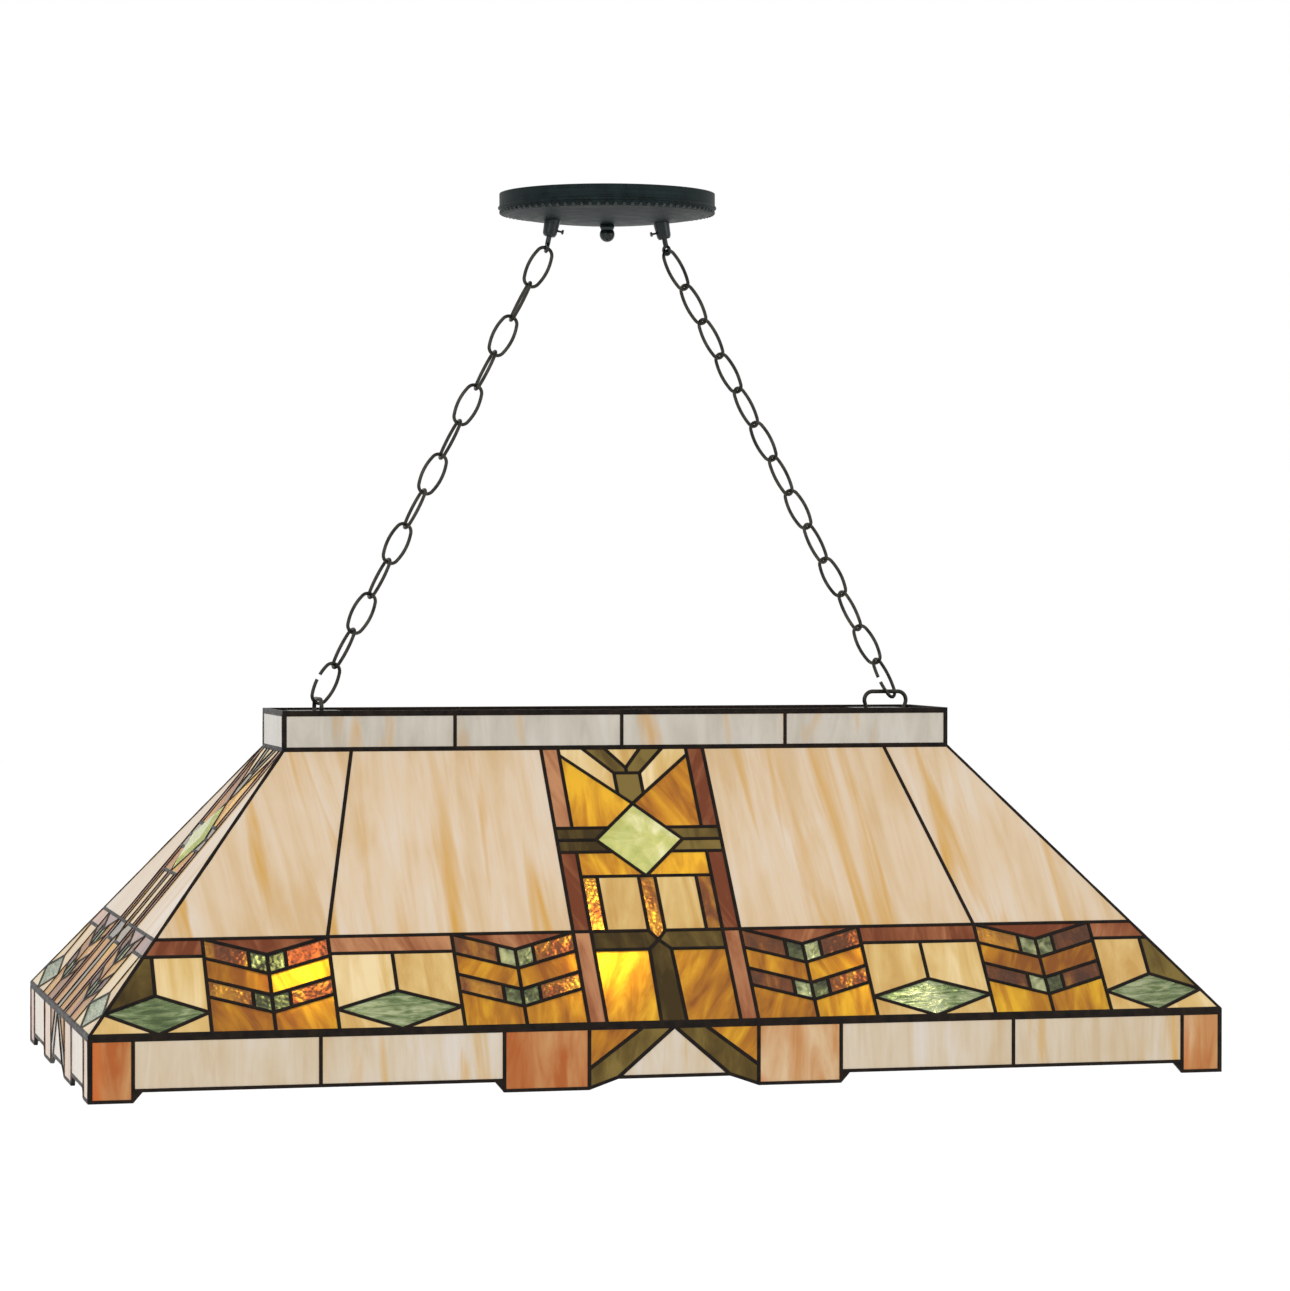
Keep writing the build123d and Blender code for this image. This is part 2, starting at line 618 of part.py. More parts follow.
def place_link(link, side, number):
    down, _ = chain_axis(side)
    centre = first_seat(side) + down * (number - 0.5) * link_pitch
    return Plane(origin=centre, x_dir=link_width_direction(side, number), z_dir=-down).location * link


def make_open_link(link):
    """The last link, with one side cut open just below its middle."""
    wide_half = (link_width - link_wire) / 2
    return link - Pos(-wide_half, 0, 2) * Box(2.5 * link_wire, 2.5 * link_wire, open_gap)


def make_swivel(side):
    """Ball, stem and eye in one piece."""
    plane = swivel_plane(side)
    ring = eye_hole_radius + eye_bar_radius
    body = plane.location * Sphere(ball_radius)
    length = swivel_length - eye_hole_radius - ring + 0.5 * eye_bar_radius
    body += plane.location * Cylinder(stem_radius, length, align=HIGH)
    return body + Solid.make_torus(ring, eye_bar_radius, Plane(origin=eye_centre(side), z_dir=eye_axis(side)))


# ---- rings ----
def bar_centre(side):
    """Centre of the ring's top bar, resting in the last link's lower end."""
    down, _ = chain_axis(side)
    width = link_width_direction(side, link_count)
    room = (link_wire + ring_wire) / 2 + link_gap
    bend = first_seat(side) + down * (link_count * link_pitch + (link_wire + link_gap) / 2 - link_end_radius)
    if side < 0:
        lift = width.cross(Y).normalized()
        lift = lift if lift.Z > 0 else -lift
        return bend + down * link_end_radius + lift * room
    turns = [radians(turn) for turn in range(-75, 76)]
    wire = [bend + (down * cos(turn) + width * sin(turn)) * link_end_radius for turn in turns]
    height = max(point.Z + sqrt(room ** 2 - point.Y ** 2) for point in wire if abs(point.Y) < room)
    return Vector(ring_x, 0, height)


def make_ring(side):
    """Bent wire stirrup: flat top bar, round shoulders, legs that lean in to the strap they stand on."""
    centre = bar_centre(side)
    if side < 0:
        plane = Plane(origin=(centre.X, 0, centre.Z), x_dir=(0, 1, 0), z_dir=(1, 0, 0))
    else:
        plane = Plane(origin=(ring_x, 0, centre.Z), x_dir=(1, 0, 0), z_dir=(0, -1, 0))
    slope = radians(ring_slope)
    r = ring_shoulder
    flat = ring_half - r
    end = (flat + r * cos(slope), -r - r * sin(slope))
    floor = centre.Z - hanger_strap_top
    leg = (floor - r - r * sin(slope)) / cos(slope) + ring_wire
    foot = (end[0] - leg * sin(slope), end[1] - leg * cos(slope))
    mid = (flat + r * cos(pi / 4), -r + r * sin(pi / 4))
    path = Wire(Curve() + [
        Line((-foot[0], foot[1]), (-end[0], end[1])),
        ThreePointArc((-end[0], end[1]), (-mid[0], mid[1]), (-flat, 0)),
        Line((-flat, 0), (flat, 0)),
        ThreePointArc((flat, 0), mid, end),
        Line(end, foot)])
    start = Plane(origin=(-foot[0], foot[1], 0), z_dir=(-sin(slope), cos(slope), 0))
    wire = sweep(start * Circle(ring_wire / 2), path=path)
    below = Box(6 * ring_half, 6 * ring_half, 3 * ring_half, align=HIGH)
    return plane.location * wire - Pos(centre.X, 0, hanger_strap_top) * below


hanger_strap_top = crown_top_z - hanger_strap_below_rim
lamp_strap_top = crown_foot_z + lamp_strap_lift + strap_thick
holder_top = lamp_strap_top - strap_thick - holder_drop
holder_low = holder_top - holder_length
pipe_low = holder_top - 8
pipe_high = lamp_strap_top + nut_thick + 2


def make_hanger_strap(side):
    x = side * ring_x
    return Pos(x, 0, hanger_strap_top - strap_thick / 2) * Box(hanger_strap_width, 2 * crown_inner, strap_thick)


def make_lamp_strap(x):
    strap = Pos(x, 0, lamp_strap_top - strap_thick / 2) * Box(lamp_strap_width, 2 * crown_inner, strap_thick)
    return strap - Pos(x, 0, lamp_strap_top) * Cylinder(nipple_radius + thread_gap, 6 * strap_thick)


def make_holder(x):
    """Lampholder: closed cap above, open sleeve for the bulb below."""
    body = Pos(x, 0, holder_low) * Cylinder(holder_radius, holder_length, align=LOW)
    body = chamfer(body.faces().sort_by(Axis.Z)[-1].edges(), 4)
    sleeve = Pos(x, 0, holder_low) * Cylinder(bulb_cap_radius + 0.3, bulb_cap_length + 3, align=LOW)
    pipe_hole = Pos(x, 0, holder_top) * Cylinder(nipple_radius + thread_gap, 20)
    return body - sleeve - pipe_hole


def make_bulb_cap(x):
    top = holder_low + bulb_cap_length
    cap = Pos(x, 0, holder_low) * Cylinder(bulb_cap_radius, bulb_cap_length - 4, align=LOW)
    tip = Pos(x, 0, top - 4) * Cone(bulb_cap_radius, 5, 4, align=LOW)
    return cap + tip


def bulb_outline(shrink):
    """Points of a bulb's half profile: neck, shoulder, widest ring and bottom."""
    r = bulb_radius - shrink
    low = -bulb_neck - 0.33 * bulb_radius
    angle = radians(19)
    return [(bulb_cap_radius - shrink, 0, 0), (0.62 * bulb_radius - shrink, 0, -0.55 * bulb_neck),
            (r * cos(angle), 0, low + r * sin(angle)), (r, 0, low), (0, 0, low - r)]


def make_bulb(x):
    out, inn = bulb_outline(0), bulb_outline(bulb_glass)
    shell = turned(
        ThreePointArc(out[0], out[1], out[2]),
        ThreePointArc(out[2], out[3], out[4]),
        Line(out[4], inn[4]),
        ThreePointArc(inn[4], inn[3], inn[2]),
        ThreePointArc(inn[2], inn[1], inn[0]),
        Line(inn[0], out[0]))
    return Pos(x, 0, holder_low) * shell


# ---- writing the parts ----
def build():
    lamps = (("left", -lamp_x), ("centre", 0.0), ("right", lamp_x))
    hands = (("left", -1), ("right", 1))
    parts = {
        "canopy_pan": [make_canopy()],
        "ceiling_crossbar": [make_crossbar()],
        "canopy_pipe": [tube(nipple_radius, nipple_bore, -canopy_depth - nipple_engage, -0.2)],
        "pipe_locknut": [hex_nut(nipple_radius + thread_gap, -bar_thick - nut_thick - 0.1)],
        "ground_screw": [make_ground_screw()],
        "finial_knob": [make_finial()],
        "swivel_locknuts": [make_swivel_nut(side) for _, side in hands],
        "lamp_pipes": [Pos(x, 0, 0) * tube(nipple_radius, nipple_bore, pipe_low, pipe_high) for _, x in lamps],
        "lamp_pipe_nuts": [Pos(x, 0, 0) * hex_nut(nipple_radius + thread_gap, z) for _, x in lamps
                           for z in (lamp_strap_top, lamp_strap_top - strap_thick - nut_thick)],
        "bulb_caps": [make_bulb_cap(x) for _, x in lamps],
    }
    link = make_link()
    for hand, side in hands:
        parts[hand + "_swivel_cup"] = [make_cup(side)]
        parts[hand + "_clamp_screw"] = [make_clamp_screw(side)]
        parts[hand + "_swivel"] = [make_swivel(side)]
        parts[hand + "_chain"] = [place_link(link, side, i + 1) for i in range(link_count - 1)]
        parts[hand + "_open_link"] = [place_link(make_open_link(link), side, link_count)]
        parts[hand + "_hanging_ring"] = [make_ring(side)]
        parts[hand + "_hanger_strap"] = [make_hanger_strap(side)]
    for place, x in lamps:
        parts[place + "_lamp_strap"] = [make_lamp_strap(x)]
        parts[place + "_lampholder"] = [make_holder(x)]
        parts[place + "_bulb"] = [make_bulb(x)]
    panes = {}
    for name, lattice, cells in shade_sides():
        parts[name] = [lattice]
        for glass, pane in cells:
            panes.setdefault(glass, []).append(pane)
    for glass, solids in panes.items():
        parts[glass + "_glass"] = solids
    return parts


os.makedirs("parts", exist_ok=True)
for name, solids in build().items():
    pieces = [solid for shape in solids for solid in shape.solids()]
    export_step(pieces[0] if len(pieces) == 1 else Compound(children=pieces), f"parts/{name}.step")
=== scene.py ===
import math

import bpy
import numpy as np
from mathutils import Matrix, Vector


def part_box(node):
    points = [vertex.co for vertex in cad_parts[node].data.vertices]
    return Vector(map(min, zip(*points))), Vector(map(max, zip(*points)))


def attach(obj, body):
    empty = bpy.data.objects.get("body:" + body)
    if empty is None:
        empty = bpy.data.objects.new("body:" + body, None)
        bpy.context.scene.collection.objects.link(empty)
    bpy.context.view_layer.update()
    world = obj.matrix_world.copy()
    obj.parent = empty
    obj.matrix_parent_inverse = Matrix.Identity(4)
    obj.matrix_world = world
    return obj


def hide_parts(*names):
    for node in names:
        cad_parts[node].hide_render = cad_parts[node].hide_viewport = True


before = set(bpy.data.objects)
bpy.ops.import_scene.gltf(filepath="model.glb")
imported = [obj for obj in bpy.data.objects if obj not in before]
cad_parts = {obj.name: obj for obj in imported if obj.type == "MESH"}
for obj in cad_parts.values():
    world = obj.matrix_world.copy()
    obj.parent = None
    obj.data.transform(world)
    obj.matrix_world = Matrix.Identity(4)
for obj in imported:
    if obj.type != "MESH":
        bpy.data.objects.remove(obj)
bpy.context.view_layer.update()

MM = 0.001

# ---- sizes of the leaded shade, in mm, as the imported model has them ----
roof_low, roof_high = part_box("roof_front_lead")
HALF_LENGTH = roof_high[0] / MM
HALF_WIDTH = -roof_low[1] / MM
ROOF_FOOT = roof_low[2] / MM
CROWN_FOOT = roof_high[2] / MM
CROWN_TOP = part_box("crown_front_lead")[1][2] / MM
SKIRT_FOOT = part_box("skirt_front_lead")[0][2] / MM
CROWN_HALF_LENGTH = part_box("crown_front_lead")[1][0] / MM
CROWN_HALF_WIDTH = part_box("crown_right_lead")[1][1] / MM
RUN = HALF_LENGTH - CROWN_HALF_LENGTH
RISE = CROWN_FOOT - ROOF_FOOT
SLOPE = math.hypot(RUN, RISE)
CROWN = CROWN_TOP - CROWN_FOOT
SKIRT = ROOF_FOOT - SKIRT_FOOT
LEAD = 3.4
GLASS = 2.6
LINE = 3.2
BAND = 98.0
FOOT = 2.2 - LINE / 2
LAMP_X = (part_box("right_bulb")[0][0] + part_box("right_bulb")[1][0]) / 2 / MM
GLOW_RISE = 33.0      # the glow's centre above the bulb's lowest point
BULB_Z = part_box("centre_bulb")[0][2] / MM + GLOW_RISE
BEAD_COUNT = 80       # beads round the canopy's edge
BEAD_RADIUS = 1.8
BEAD_INSET = 2.9      # in from the canopy's widest
BEAD_HEIGHT = -17.2


# ---- meshes from arrays ----
def sweep_rings(rings, caps=(True, True), closed=False):
    """Skin over rings of points, each ring running round the way of travel by the right-hand rule.
    An end with a cap is drawn together to the mean of its ring; closed joins the last ring to the first."""
    rows, cols, _ = rings.shape
    first = np.arange(rows * cols).reshape(rows, cols)
    here = first if closed else first[:-1]
    there = np.roll(first, -1, axis=0) if closed else first[1:]
    quads = np.stack([here, np.roll(here, -1, axis=1), np.roll(there, -1, axis=1), there],
                     axis=-1).reshape(-1, 4)
    points = rings.reshape(-1, 3)
    tris = np.zeros((0, 3), int)
    for cap, row, side in ((caps[0], 0, -1), (caps[1], rows - 1, 1)):
        if cap and not closed:
            centre = len(points)
            points = np.vstack([points, rings[row].mean(axis=0)])
            edge = first[row]
            fan = np.stack([edge, np.roll(edge, -1), np.full(cols, centre)], axis=-1)
            tris = np.vstack([tris, fan if side > 0 else fan[:, ::-1]])
    return points, quads, tris


def build(name, blocks, material, body, replaced=(), smooth=True):
    """One object from blocks of (points in mm, quads, triangles, per-point data), joined as whole
    arrays."""
    sizes = [len(block[0]) for block in blocks]
    starts = np.concatenate([[0], np.cumsum(sizes)[:-1]]).astype(int)
    points = np.vstack([block[0] for block in blocks]) * MM
    quads = np.vstack([block[1] + start for block, start in zip(blocks, starts)])
    tris = np.vstack([block[2] + start for block, start in zip(blocks, starts)])
    corners = np.concatenate([quads.ravel(), tris.ravel()]).astype(np.int32)
    begins = np.concatenate([np.arange(len(quads)) * 4, len(quads) * 4 + np.arange(len(tris)) * 3])
    begins = begins.astype(np.int32)
    mesh = bpy.data.meshes.new(name)
    mesh.vertices.add(len(points))
    mesh.vertices.foreach_set("co", points.astype(np.float32).ravel())
    mesh.loops.add(len(corners))
    mesh.loops.foreach_set("vertex_index", corners)
    mesh.polygons.add(len(begins))
    mesh.polygons.foreach_set("loop_start", begins)
    mesh.update(calc_edges=True)
    mesh.validate()
    if len(blocks[0]) > 3:
        for key in blocks[0][3]:
            values = np.vstack([np.broadcast_to(block[3][key], (len(block[0]), len(blocks[0][3][key][0])))
                                for block in blocks])
            if key == "sheet":
                layer = mesh.uv_layers.new(name=key)
                layer.data.foreach_set("uv", values[corners].astype(np.float32).ravel())
            else:
                attribute = mesh.attributes.new(key, "FLOAT_VECTOR", "POINT")
                attribute.data.foreach_set("vector", values.astype(np.float32).ravel())
    if smooth:
        mesh.shade_smooth()
    else:
        mesh.shade_flat()
    piece = bpy.data.objects.new(name, mesh)
    bpy.context.scene.collection.objects.link(piece)
    mesh.materials.append(material)
    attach(piece, body)
    if replaced:
        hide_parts(*replaced)
    return piece


# ---- node materials ----
class Graph:
    """Short calls that add linked nodes to one material."""

    def __init__(self, name):
        self.material = bpy.data.materials.new(name)
        self.material.use_nodes = True
        self.tree = self.material.node_tree
        self.tree.nodes.clear()
        self.out = self.add("ShaderNodeOutputMaterial")
        self.shader = self.add("ShaderNodeBsdfPrincipled")
        self.tree.links.new(self.shader.outputs[0], self.out.inputs[0])

    def add(self, kind, **settings):
        node = self.tree.nodes.new(kind)
        for key, value in settings.items():
            setattr(node, key, value)
        return node

    def put(self, socket, value):
        if hasattr(value, "links"):
            self.tree.links.new(value, socket)
        else:
            socket.default_value = value

    def where(self):
        return self.add("ShaderNodeTexCoord").outputs["Object"]

    def sheet(self):
        return self.add("ShaderNodeUVMap", uv_map="sheet").outputs[0]

    def attribute(self, name):
        return self.add("ShaderNodeAttribute", attribute_name=name).outputs["Vector"]

    def mapping(self, vector, scale=(1, 1, 1), turn=(0, 0, 0), move=(0, 0, 0)):
        node = self.add("ShaderNodeMapping")
        self.put(node.inputs["Vector"], vector)
        node.inputs["Scale"].default_value = scale
        node.inputs["Rotation"].default_value = turn
        node.inputs["Location"].default_value = move
        return node.outputs[0]

    def noise(self, vector, scale, detail=4.0, rough=0.55, distortion=0.0):
        node = self.add("ShaderNodeTexNoise")
        self.put(node.inputs["Vector"], vector)
        for key, value in (("Scale", scale), ("Detail", detail), ("Roughness", rough),
                           ("Distortion", distortion)):
            node.inputs[key].default_value = value
        return node.outputs[0]

    def ripple(self, vector, scale, smoothness=0.4):
        node = self.add("ShaderNodeTexVoronoi", feature="SMOOTH_F1")
        self.put(node.inputs["Vector"], vector)
        node.inputs["Scale"].default_value = scale
        node.inputs["Smoothness"].default_value = smoothness
        return node.outputs["Distance"]

    def math(self, operation, a, b=0.0, clamp=False):
        node = self.add("ShaderNodeMath", operation=operation, use_clamp=clamp)
        self.put(node.inputs[0], a)
        self.put(node.inputs[1], b)
        return node.outputs[0]

    def vector_math(self, operation, a, b):
        node = self.add("ShaderNodeVectorMath", operation=operation)
        self.put(node.inputs[0], a)
        self.put(node.inputs[1], b)
        return node.outputs["Value" if operation in ("DISTANCE", "LENGTH", "DOT_PRODUCT") else "Vector"]

    def ramp(self, factor, stops):
        node = self.add("ShaderNodeValToRGB")
        self.put(node.inputs[0], factor)
        ramp = node.color_ramp
        while len(ramp.elements) < len(stops):
            ramp.elements.new(0.5)
        for element, (place, colour) in zip(ramp.elements, stops):
            element.position = place
            element.color = colour if len(colour) == 4 else (*colour, 1.0)
        return node.outputs[0]

    def span(self, value, low, high, start=0.0, end=1.0):
        node = self.add("ShaderNodeMapRange")
        self.put(node.inputs["Value"], value)
        for key, number in (("From Min", low), ("From Max", high), ("To Min", start), ("To Max", end)):
            node.inputs[key].default_value = number
        return node.outputs[0]

    def mix(self, factor, a, b, blend="MIX"):
        node = self.add("ShaderNodeMix", data_type="RGBA", blend_type=blend)
        self.put(node.inputs["Factor"], factor)
        self.put(node.inputs[6], a if not isinstance(a, tuple) else (*a, 1.0)[:4])
        self.put(node.inputs[7], b if not isinstance(b, tuple) else (*b, 1.0)[:4])
        return node.outputs[2]

    def bump(self, height, strength, distance):
        node = self.add("ShaderNodeBump")
        node.inputs["Strength"].default_value = strength
        node.inputs["Distance"].default_value = distance
        self.put(node.inputs["Height"], height)
        self.put(self.shader.inputs["Normal"], node.outputs[0])

    def set(self, **values):
        for key, value in values.items():
            self.put(self.shader.inputs[key.replace("_", " ")], value)


def srgb(red, green, blue):
    """Linear colour of an everyday 0 to 255 one."""
    value = np.array([red, green, blue]) / 255
    linear = np.where(value <= 0.04045, value / 12.92, ((value + 0.055) / 1.055) ** 2.4)
    return tuple(float(channel) for channel in linear)


def tint(red, green, blue):
    """Pigment that shows as the given everyday colour in this studio: the linear colour less the light
    it gains."""
    return tuple(0.78 * channel for channel in srgb(red, green, blue))


def lamp_glow(graph, near, spread, floor):
    """How strongly the bulbs light a point from inside: floor plus, for each bulb, near / (1 +
    (distance / spread)^4)."""
    place = graph.where()
    total = floor
    for x in (-LAMP_X, 0.0, LAMP_X):
        away = graph.vector_math("DISTANCE", place, (x * MM, 0.0, BULB_Z * MM))
        ratio = graph.math("POWER", graph.math("DIVIDE", away, spread), 4.0)
        total = graph.math("ADD", graph.math("DIVIDE", near, graph.math("ADD", ratio, 1.0)), total)
    return total


def art_glass(name, deep, main, pale, wisp=None, stretch=(9.0, 60.0), contrast=(0.35, 0.65), near=0.35,
              floor=0.0, clear=0.0, rough=0.1, relief=("wavy", 0.25), glow_colour=None, tone=0.12):
    """Streaky sheet glass. Streaks are noise stretched along the sheet's own second direction, mixed
    between three colours, with soft wisps of a fourth; each pane's own tone shifts the mix. On the copper,
    mint and green glasses the palest colour is partly painted glints of light, partly the glass's own
    streaks.
    Relief is a height pattern of noise or smoothed cells. The bulbs' light adds to it by distance."""
    g = Graph(name)
    sheet = g.sheet()
    own = g.add("ShaderNodeSeparateXYZ")
    g.put(own.inputs[0], g.attribute("tone"))
    streak = g.noise(g.mapping(sheet, scale=(stretch[1], stretch[0], 1)), 1.0, detail=5, rough=0.6,
                     distortion=0.7)
    cloud = g.noise(g.mapping(sheet, scale=(17, 9, 1), move=(3.1, 1.7, 0)), 1.0, detail=3, rough=0.5,
                    distortion=0.4)
    shift = g.math("MULTIPLY", g.math("SUBTRACT", own.outputs[0], 0.5), tone)
    amount = g.math("ADD", g.math("ADD", g.math("MULTIPLY", streak, 0.6),
                                  g.math("MULTIPLY", cloud, 0.4)), shift)
    colour = g.ramp(amount, [(contrast[0], deep), (0.5, main), (contrast[1], pale)])
    if wisp:
        thin = g.noise(g.mapping(sheet, scale=(stretch[1] * 0.5, stretch[0] * 0.4, 1),
                                 move=(7.7, 4.2, 0)), 1.0,
                       detail=3, rough=0.5, distortion=0.9)
        colour = g.mix(g.span(thin, wisp[1], wisp[2]), colour, wisp[0])
    glow = lamp_glow(g, near, 0.235, floor)
    shone = colour if glow_colour is None else g.mix(0.6, colour, glow_colour)
    lit = g.mix(1.0, shone, g.ramp(g.math("MULTIPLY", glow, 0.25), [(0.0, (0, 0, 0)), (1.0, (4, 4, 4))]),
                blend="MULTIPLY")
    kind, strength = relief
    if kind == "wavy":
        height = g.noise(g.mapping(sheet, scale=(45, 18, 1)), 1.0, detail=2, rough=0.4)
        distance = 0.0006
    elif kind == "hammered":
        height = g.ripple(sheet, 260.0, 0.6)
        distance = 0.0012
    else:
        height = g.noise(g.mapping(sheet, scale=(60, 260, 1)), 1.0, detail=2, rough=0.5, distortion=1.4)
        distance = 0.0016
    g.bump(height, strength, distance)
    g.set(Base_Color=colour, Emission_Color=lit, Emission_Strength=1.0, Roughness=rough, IOR=1.5,
          Specular_IOR_Level=0.12, Transmission_Weight=clear)
    return g.material


def dark_metal(name, colour, worn, rough=(0.28, 0.5), brushed=None, metallic=0.9, dents=0.15, sheen=0.5):
    """Darkened metal: patchy patina between two colours, with fine scratches, and brushing round the
    axis if asked."""
    g = Graph(name)
    place = g.where()
    patch = g.noise(place, 90.0, detail=5)
    fine = g.noise(place, 700.0, detail=3)
    mixed = g.math("ADD", g.math("MULTIPLY", patch, 0.7), g.math("MULTIPLY", fine, 0.3))
    height = fine
    if brushed:
        around = g.noise(g.mapping(place, scale=brushed), 1.0, detail=4, rough=0.65)
        mixed = g.math("ADD", g.math("MULTIPLY", mixed, 0.5), g.math("MULTIPLY", around, 0.5))
        height = around
    g.set(Base_Color=g.ramp(mixed, [(0.38, colour), (0.66, worn)]), Metallic=metallic,
          Roughness=g.span(mixed, 0.35, 0.65, rough[0], rough[1]), Specular_IOR_Level=sheen)
    g.bump(height, dents, 0.0004)
    return g.material


def plain_metal(name, colour, rough):
    """Plated steel with faint rolled grain."""
    g = Graph(name)
    grain = g.noise(g.mapping(g.where(), scale=(1, 14, 14)), 60.0, detail=4)
    g.set(Base_Color=g.ramp(grain, [(0.3, tuple(0.8 * c for c in colour)), (0.7, colour)]), Metallic=1.0,
          Roughness=g.span(grain, 0.3, 0.7, rough - 0.06, rough + 0.08))
    g.bump(grain, 0.08, 0.0003)
    return g.material


# ---- pattern of the leaded glass: outlines of panes across (u) and up (v) each sheet, in mm ----
def both(panes):
    """The panes and their mirror images."""
    return panes + [(glass, [(-u, v) for u, v in outline]) for glass, outline in panes]


def column_panes(half, strip, hammered, top):
    """The middle column with its jewel, from foot to crown."""
    upper = top - BAND
    inner = half - strip
    cream = inner - hammered
    mid, high = BAND + 0.490 * upper, BAND + 0.688 * upper
    low = 2 * mid - high
    up, down = mid + 0.066 * upper, mid - 0.066 * upper
    edge = 40.0 * (1 - 0.066 * upper / (high - mid))
    line = BAND + 0.961 * upper
    stem = high + (line - high) * 12.0 / inner
    fork, notch = BAND + 0.859 * upper, BAND + 0.888 * upper
    out, inn = 0.633 * inner, 0.283 * inner
    point, arm = BAND - 10, BAND - 20
    middle = [
        ("tan", [(-inn, top), (0, notch), (inn, top)]),
        ("olive", [(-12, fork), (-12, stem), (0, high), (12, stem), (12, fork)]),
        ("jewel", [(0, low), (40, mid), (0, high), (-40, mid)]),
        ("copper", [(-7.5, low), (-7.5, BAND), (0, point), (7.5, BAND), (7.5, low)]),
        ("olive", [(0, point), (-10, arm), (-11.5, FOOT), (11.5, FOOT), (10, arm)]),
    ]
    side = [
        ("burgundy", [(inner, up), (half, up), (half, top), (inner, top)]),
        ("amber", [(edge, up), (inner, up), (inner, line), (0, high)]),
        ("tan", [(12, stem), (inner, line), (inner, top), (out, top), (12, fork)]),
        ("olive", [(0, fork), (12, fork), (out, top), (inn, top), (0, notch)]),
        ("olive", [(edge, up), (40, mid), (half, mid), (half, up)]),
        ("olive", [(40, mid), (edge, down), (half, down), (half, mid)]),
        ("amber", [(0, low), (inner, low), (inner, down), (edge, down)]),
        ("burgundy", [(inner, BAND), (half, BAND), (half, down), (inner, down)]),
        ("copper", [(cream, BAND), (inner, BAND), (inner, low), (cream, low)]),
        ("tan", [(7.5, BAND), (cream, BAND), (cream, low), (7.5, low)]),
        ("burgundy", [(inner, FOOT), (half, FOOT), (half, BAND), (inner, BAND)]),
        ("olive", [(7.5, BAND), (0, point), (10, arm), (inner, arm), (inner, BAND)]),
        ("amber", [(11.5, FOOT), (inner, FOOT), (inner, arm), (10, arm)]),
    ]
    return middle + both(side)


def chevron_panes(start, end):
    """Band tile of stacked chevrons: each line falls evenly from the tile's sides to its middle."""
    mid = (start + end) / 2
    levels = [BAND, 0.796 * BAND, 0.571 * BAND, 0.388 * BAND]
    fall = lambda level, u: level - 17.5 * (1 - abs(u - mid) / (mid - start))
    panes = [("burgundy", [(start, BAND), (mid, BAND - 17.5), (end, BAND)])]
    for row, (high, low) in enumerate(zip(levels, levels[1:])):
        stops = [start, mid, end] if row == 1 else [start, mid - 16, mid, mid + 16, end]
        kinds = ["amber", "amber"] if row == 1 else ["copper", "mint", "mint", "copper"]
        panes += [(kind, [(a, fall(low, a)), (b, fall(low, b)), (b, fall(high, b)), (a, fall(high, a))])
                  for kind, a, b in zip(kinds, stops, stops[1:])]
    return panes + [("amber", [(a, FOOT), (b, FOOT), (b, fall(levels[3], b)), (a, fall(levels[3], a))])
                    for a, b in ((start, mid), (mid, end))]


def diamond_panes(start, tip, strip_end, top_end, foot_end, outer):
    """Band tile with a green diamond; its outer edge may follow a hip."""
    mid, under = (start + tip) / 2, BAND - 18
    return [
        ("burgundy", [(start, under), (strip_end, under), (top_end, BAND), (start, BAND)]),
        ("tan", [(start, 22), (mid, 40), (mid, under), (start, under)]),
        (outer, [(mid, 40), (tip, 22), (strip_end, under), (mid, under)]),
        ("green", [(start, 22), (mid, FOOT), (tip, 22), (mid, 40)]),
        ("tan", [(start, FOOT), (mid, FOOT), (start, 22)]),
        ("tan", [(mid, FOOT), (foot_end, FOOT), (tip, 22)]),
    ]


def roof_panes(half, top_half, long_side):
    """All panes of a roof side; hip(v) is the hip's place at height v, less the lead along it."""
    top = SLOPE - 0.5
    margin = 0.6 * math.hypot(1, RUN / SLOPE)
    hip = lambda v: half - RUN * v / SLOPE - margin
    ends = (hip(22), hip(BAND - 18), hip(BAND), hip(FOOT))
    if not long_side:
        edge = hip(top)
        tile = edge + (half - edge) * 0.405
        side = chevron_panes(edge, tile) + diamond_panes(tile, *ends, "tan")
        side += [("cream", [(edge, BAND), (hip(BAND), BAND), (edge, top)])]
        return column_panes(edge, 14.0, 13.0, top) + both(side)
    tile = (half - 76) / 3.96
    stops = [76 + tile * i for i in range(4)]
    joint = 0.8 * top_half
    side = chevron_panes(stops[0], stops[1]) + chevron_panes(stops[2], stops[3])
    side += diamond_panes(stops[1], stops[2], stops[2], stops[2], stops[2], "tan")
    side += diamond_panes(stops[3], *ends, "olive")
    side += [("cream", [(76, BAND), (stops[2], BAND), (joint, top), (76, top)]),
             ("cream", [(stops[2], BAND), (hip(BAND), BAND), (hip(top), top), (joint, top)])]
    return column_panes(76, 16.0, 14.5, top) + both(side)


def skirt_panes(half, centre, block, joints):
    """Panes of a skirt side, v counted down from the foot of the roof."""
    top, deep, shallow = -3.6, -SKIRT + 1.4, -SKIRT + 9 + 1.4
    corner, outer, end = half - 38, half - 2.3, centre + block
    arm = 0.66 * centre
    side = [
        ("caramel", [(corner, deep), (outer, deep), (outer, top), (corner, top)]),
        ("caramel", [(centre, deep), (end, deep), (end, top), (centre, top)]),
        ("amber", [(centre, top), (centre, -0.68 * SKIRT), (0.37 * centre, top)]),
        ("olive", [(0, top), (0.37 * centre, top), (centre, -0.68 * SKIRT), (centre, deep),
                   (arm, shallow)]),
    ]
    stops = np.linspace(end, corner, joints + 1)
    side += [("skirt", [(a, shallow), (b, shallow), (b, top), (a, top)]) for a, b in zip(stops, stops[1:])]
    return [("skirt", [(0, top), (-arm, shallow), (arm, shallow)])] + both(side)


